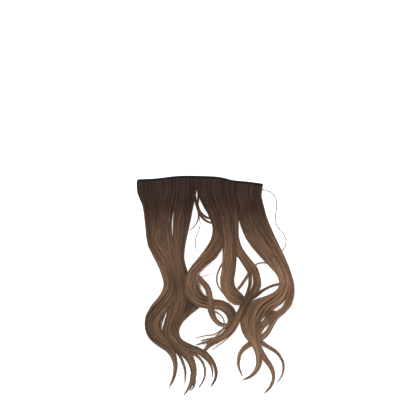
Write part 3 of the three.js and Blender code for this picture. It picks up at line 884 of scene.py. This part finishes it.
LOOSE["right"] += [
    [(106, 4, 4, 1), (90, 0, 4, 0), (77.5, -6, 4.2, 0), (66, -14.5, 5, 0), (56, -21.5, 6, 0), (50, -29, 6, 0),
     (44, -40, 5, 0), (41, -52, 3, 0)],
    [(89, 33, 2.2, 1), (83, 36, 2.2, 0), (76, 37, 2.2, 0), (66, 35, 2.2, 0), (60, 30, 2.2, 1)],
    [(106, -41, 4, 1), (97, -43.5, 6, 1), (88, -43.5, 8, 1), (83.5, -49.5, 6, 1.5), (77.5, -59.5, 4, 2),
     (71.5, -69, 3, 3)],
    [(29.5, 164, 5, 4.5), (31.5, 156, 5, 4.5), (34.5, 142, 4.5, 3.5), (36.8, 125, 3.5, 2),
     (37.5, 110, 3, 0.5), (38.5, 99, 1.5, 0)],
    [(73, 154, 1, 5), (83, 152, 1, 2), (91.5, 148, 1, 0), (96.5, 138.5, 1, 0), (97.5, 127.5, 1, 0),
     (95.5, 113.5, 1.3, 0), (96, 100.5, 1.3, 0), (102.5, 90, 1.3, 0), (110, 81, 1.3, 0),
     (112.5, 72.5, 1.3, 0), (112, 63.5, 1.3, 0), (104, 54, 1.3, 1), (98, 44, 1, 3), (96, 30, 1, 3)],
]
LOOSE_PALER = 0.3
print("loose strands:", {side: len(tables) for side, tables in LOOSE.items()})

# %% Comb the loose strands
LOOSE_STATIONS = np.concatenate([[0, 0.01], np.linspace(0.04, 0.96, 14), [0.99, 1]])
LOOSE_PER_MM = 7

for side, tables in LOOSE.items():
    rng = np.random.default_rng(SEED + len(side))
    parts = []
    for table_rows in tables:
        form = LockForm(table_rows)
        count = max(2, round(LOOSE_PER_MM * form.width.max() / MM))
        parts.append(comb(form, count, rng, 0.9, (), LOOSE_STATIONS))
    name = "loose_strands_" + side
    points, radii, tones_and_shade = (np.concatenate(arrays) for arrays in zip(*parts))
    hair_piece(name, (points, radii, shaded(name, points, tones_and_shade)), rng, LOOSE_PALER)

# %% [markdown]
# ## Fly-away hairs
# Brushed hair is never quite smooth: single hairs spring out of a lock and come back to it lower down.
# Each one here follows a stretch of a strand that is already combed and swings out to one side of it.

# %% Fly-aways
FLY_RADIUS = 0.11 * MM
FLY_RINGS = 12
FLY_REACH = 3.5 * MM
FLY_LIFT = 2.5 * MM
FLY_AWAYS = 24  # from each lock


def fly_aways(strands, count, rng):
    """Thin hairs that leave a lock's strands and come back to them: points, radii and tones."""
    lines = strands[0]
    picked = rng.choice(len(lines), count, replace=False)[:, None]
    share = np.linspace(0, 1, FLY_RINGS)
    from_share = rng.uniform(0.06, 0.6, (count, 1))
    at = (from_share + rng.uniform(0.15, 0.35, (count, 1)) * share) * (lines.shape[1] - 2)
    before = at.astype(int)
    past = (at - before)[..., None]
    points = lines[picked, before] * (1 - past) + lines[picked, before + 1] * past
    heading = unit(np.gradient(points, axis=1))
    aside = np.stack([-heading[..., 1], heading[..., 0], 0 * heading[..., 2]], axis=-1)
    arch = np.sin(np.pi * share) ** 1.5
    swing = rng.normal(0, FLY_REACH, (count, 1)) * arch
    points = points + aside * swing[..., None]
    points[..., 2] += rng.uniform(0, FLY_LIFT, (count, 1)) * arch
    radii = np.full(points.shape[:2], FLY_RADIUS)
    return points, radii, rng.uniform(0.3, 1.1, (count, 1)) + 0 * radii


for fall in ("hair_left_fall", "hair_middle_fall", "hair_right_fall"):
    rng = np.random.default_rng(SEED + len(fall) + 50)
    sources = [combed[name] for name, lock in LOCKS.items() if lock["fall"] == fall]
    parts = [fly_aways(strands, FLY_AWAYS, rng) for strands in sources]
    hair_piece(fall + "_fly_aways", [np.concatenate(arrays) for arrays in zip(*parts)], rng)

# %% [markdown]
# ## Tracks and stitches
# A track is a row of hair bundles folded over a cord and sewn down side by side, so it is ridged across.
# The ridges could be bumps in the finish, but then the track's edge would stay a straight line. Here the
# section of a bar swells and shrinks along the edge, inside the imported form. A zigzag of thread closes
# the top track, and the two lower ones are sewn to the hair with running stitches.

# %% Ridged tracks
TRACK_WIDTH = 3 * MM
TRACK_DROPS = {"weft_band": 0, "weft_row_2": 6 * MM, "weft_row_3": 12 * MM}
BUNDLE_PITCH = 2.4 * MM
RINGS_IN_BUNDLE = 6
BUNDLE_DEPTH = 0.09  # share of the section's size that is gone between two bundles
TRACK_SIDES = 14
TRACK_POWER = 4  # of the superellipse that a track's section follows

bundles = round(edge_length / BUNDLE_PITCH)
ring_along = np.linspace(0, edge_length, bundles * RINGS_IN_BUNDLE + 1)[:, None]
swell = 1 - BUNDLE_DEPTH * np.cos(np.pi * bundles * ring_along / edge_length) ** 2
angles = TURN * np.arange(TRACK_SIDES) / TRACK_SIDES
reach = (np.abs(np.cos(angles)) ** TRACK_POWER + np.abs(np.sin(angles)) ** TRACK_POWER) ** (-1 / TRACK_POWER)

for node, drop in TRACK_DROPS.items():
    low, high = (corner[2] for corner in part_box(node))
    downs = drop + TRACK_WIDTH / 2 * (1 + swell * reach * np.cos(angles))
    heights = (low + high) / 2 + (high - low) / 2 * swell * reach * np.sin(angles)
    rings = np.dstack([edge_place(np.broadcast_to(ring_along, downs.shape), downs), heights])
    tips = rings[[0, -1]].mean(axis=1)
    dress("sewn_" + node, tube_mesh(node, rings[None], tips[None], track_finish), "track", node)

# %% Stitches
CORD_RADIUS = 0.6 * MM
CORD_RISE = 0.4 * MM  # of the cord's middle above the edge
THREAD_RADIUS = 0.2 * MM
ZIGZAG = 0.95 * MM  # to either side of the track's middle
POINTS_IN_ZIG = 4
STITCH_LENGTH = 1.7 * MM
STITCH_POINTS = 6


def thread_piece(name, lines, radius=THREAD_RADIUS):
    """Closed threads along lines of points."""
    rings, tips = tube_rings(lines, np.full(lines.shape[:2], radius), 6)
    dress(name, tube_mesh(name, rings, tips, thread_finish), "track")


low, high = (corner[2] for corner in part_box("weft_band"))
cord_along = np.linspace(0, edge_length, 2 * bundles + 1)
cord_height = np.full(len(cord_along), (low + high) / 2)
cord = np.column_stack([edge_place(cord_along, np.full(len(cord_along), -CORD_RISE)), cord_height])
thread_piece("edge_cord", cord[None], CORD_RADIUS)
zigs = np.linspace(0, bundles, bundles * POINTS_IN_ZIG + 1)
to_side = ZIGZAG * (4 * np.abs(zigs % 1 - 0.5) - 1)
bulge = (1 - np.abs(to_side / (TRACK_WIDTH / 2)) ** TRACK_POWER) ** (1 / TRACK_POWER)
zigzag = np.column_stack([
    edge_place(zigs / bundles * edge_length, TRACK_WIDTH / 2 + to_side),
    (low + high) / 2 + (high - low) / 2 * bulge,
])
thread_piece("band_zigzag", zigzag[None])

starts = (np.arange(bundles) + 0.15) * BUNDLE_PITCH
stitch_along = starts[:, None] + STITCH_LENGTH * np.linspace(0, 1, STITCH_POINTS)
sag = np.sin(np.pi * np.linspace(0, 1, STITCH_POINTS))
for node in ("weft_row_2", "weft_row_3"):
    under_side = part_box(node)[0][2] + THREAD_RADIUS * (1 - sag)
    places = edge_place(stitch_along, np.full(stitch_along.shape, TRACK_DROPS[node] + TRACK_WIDTH / 2))
    thread_piece(node + "_stitches", np.dstack([places, np.broadcast_to(under_side, stitch_along.shape)]))

# %% [markdown]
# ## Clips
# The clips stay as they were packed. Stamped steel has no knife edges, so a small bevel rounds them. It
# is a modifier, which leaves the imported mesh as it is, and it gives the worn edges their width.

# %% Clips
CLIP_ROUNDING = 0.25 * MM

clips = [node for name, node in sorted(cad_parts.items()) if name.startswith("clip")]
for clip in clips:
    clip.data.materials.clear()
    clip.data.materials.append(clip_finish)
    rounding = clip.modifiers.new("rounded_edges", "BEVEL")
    rounding.width = CLIP_ROUNDING
    rounding.segments = 2
    rounding.limit_method = "ANGLE"
print("clips dressed:", len(clips))
